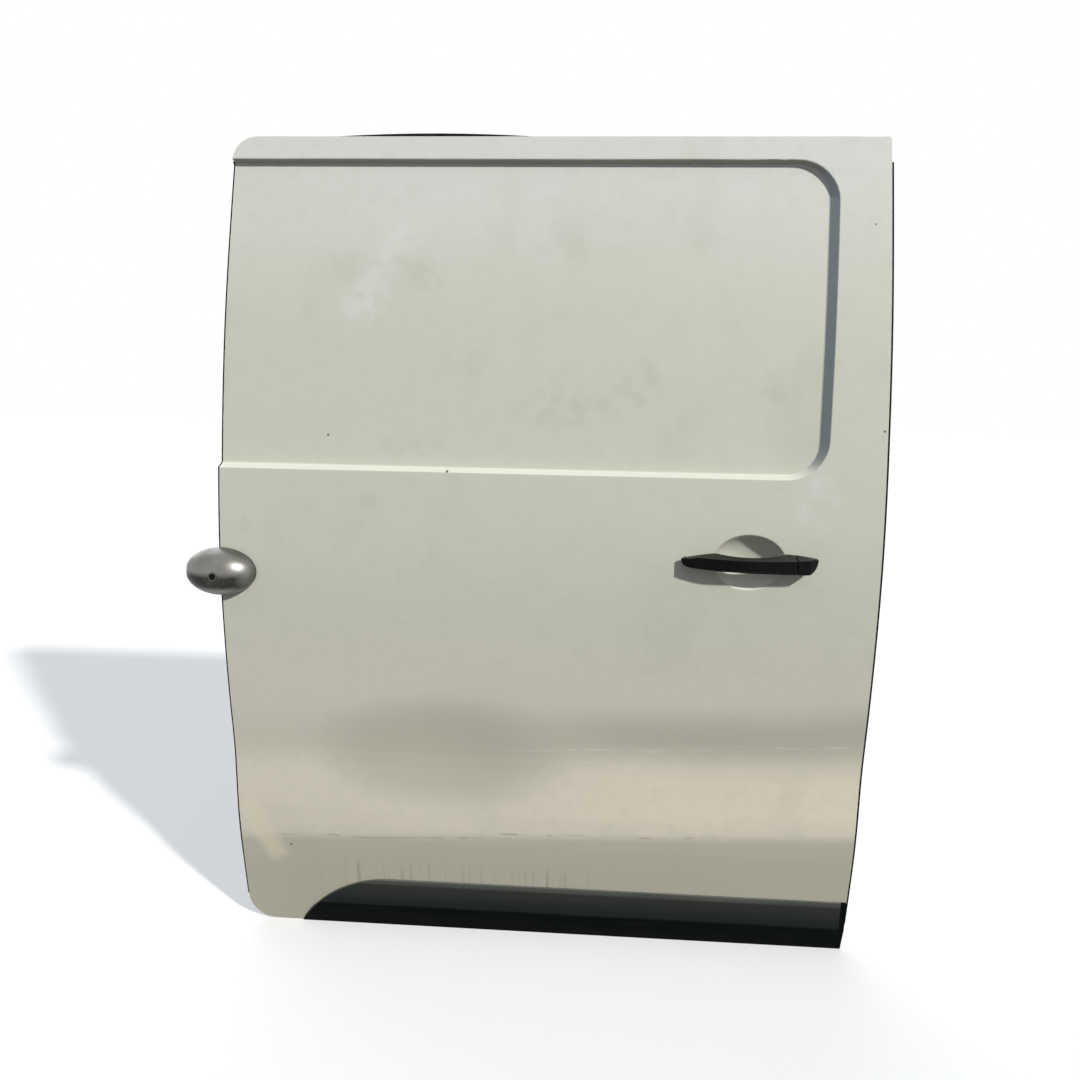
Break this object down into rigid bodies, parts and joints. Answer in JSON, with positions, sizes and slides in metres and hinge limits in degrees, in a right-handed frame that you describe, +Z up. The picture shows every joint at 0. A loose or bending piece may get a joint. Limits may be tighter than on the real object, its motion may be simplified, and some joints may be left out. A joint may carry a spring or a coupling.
{
  "type": "van sliding side door",
  "caption": "Blank-panel sliding side door of a panel van, with barrel skin, pull handle, lower cladding, roller arms and an oval security lock over its rear edge.",
  "frame": {"origin": "centre of the flat inner face of the hinge pad on the rear edge, at belt height", "axes": "+X from the rear edge to the front edge, +Y inwards through the door, +Z up"},
  "size_m": [1.1935, 0.3206, 1.465],
  "materials": {
    "body_paint": "aged cream white paint with chalking, scuffs and dirt",
    "shell_paint": "thin cream white paint over primer",
    "black_moulding": "grained black moulding",
    "cladding": "textured black moulding, dusty",
    "seal_rubber": "black extruded rubber",
    "lock_steel": "satin turned stainless steel",
    "bright_ring": "bright plated ring",
    "lock_core": "dark steel key core",
    "plated_steel": "zinc plated steel",
    "roller_nylon": "black nylon tread",
    "lining_card": "embossed dark grey lining card"
  },
  "bodies": {
    "door": {"outer_skin": "body_paint", "inner_panel": "shell_paint", "window_post_rear": "shell_paint", "window_post_front": "shell_paint", "window_header": "shell_paint", "belt_rail": "shell_paint", "panel_brace_rear": "shell_paint", "panel_brace_front": "shell_paint", "handle_cap": "black_moulding", "guide_wedge_upper": "black_moulding", "guide_wedge_lower": "black_moulding", "contact_plate": "black_moulding", "inner_handle_bezel": "black_moulding", "inner_handle_lever": "black_moulding", "sill_cladding": "cladding", "handle_gasket": "seal_rubber", "front_edge_seal": "seal_rubber", "rear_edge_seal": "seal_rubber", "top_edge_seal": "seal_rubber", "buffer_upper": "seal_rubber", "buffer_lower": "seal_rubber", "lock_body": "lock_steel", "lock_base_plate": "lock_steel", "lock_cylinder_ring": "bright_ring", "handle_carrier": "plated_steel", "handle_pivot_pin": "plated_steel", "hinge_pad": "plated_steel", "upper_arm": "plated_steel", "lower_arm": "plated_steel", "front_latch": "plated_steel", "rear_latch": "plated_steel", "front_latch_claw": "plated_steel", "rear_latch_claw": "plated_steel", "upper_roller": "roller_nylon", "guide_roller_rear": "roller_nylon", "guide_roller_front": "roller_nylon", "lower_load_roller": "roller_nylon", "lining_panel": "lining_card"},
    "handle": {"handle_bar": "black_moulding"},
    "key_core": {"lock_plug": "lock_core"}
  },
  "joints": [
    {"name": "handle_pull", "type": "hinge", "parent": "door", "child": "handle", "pos_m": [0.739, -0.054, -0.002], "axis": [0, 0, -1], "range_deg": [0, 11], "stiffness_Nm_per_rad": 4, "springref_deg": -5.73},
    {"name": "key_turn", "type": "hinge", "parent": "door", "child": "key_core", "pos_m": [-0.0728, -0.11293, -0.0455], "axis": [0, 1, 0], "range_deg": [0, 90]}
  ]
}
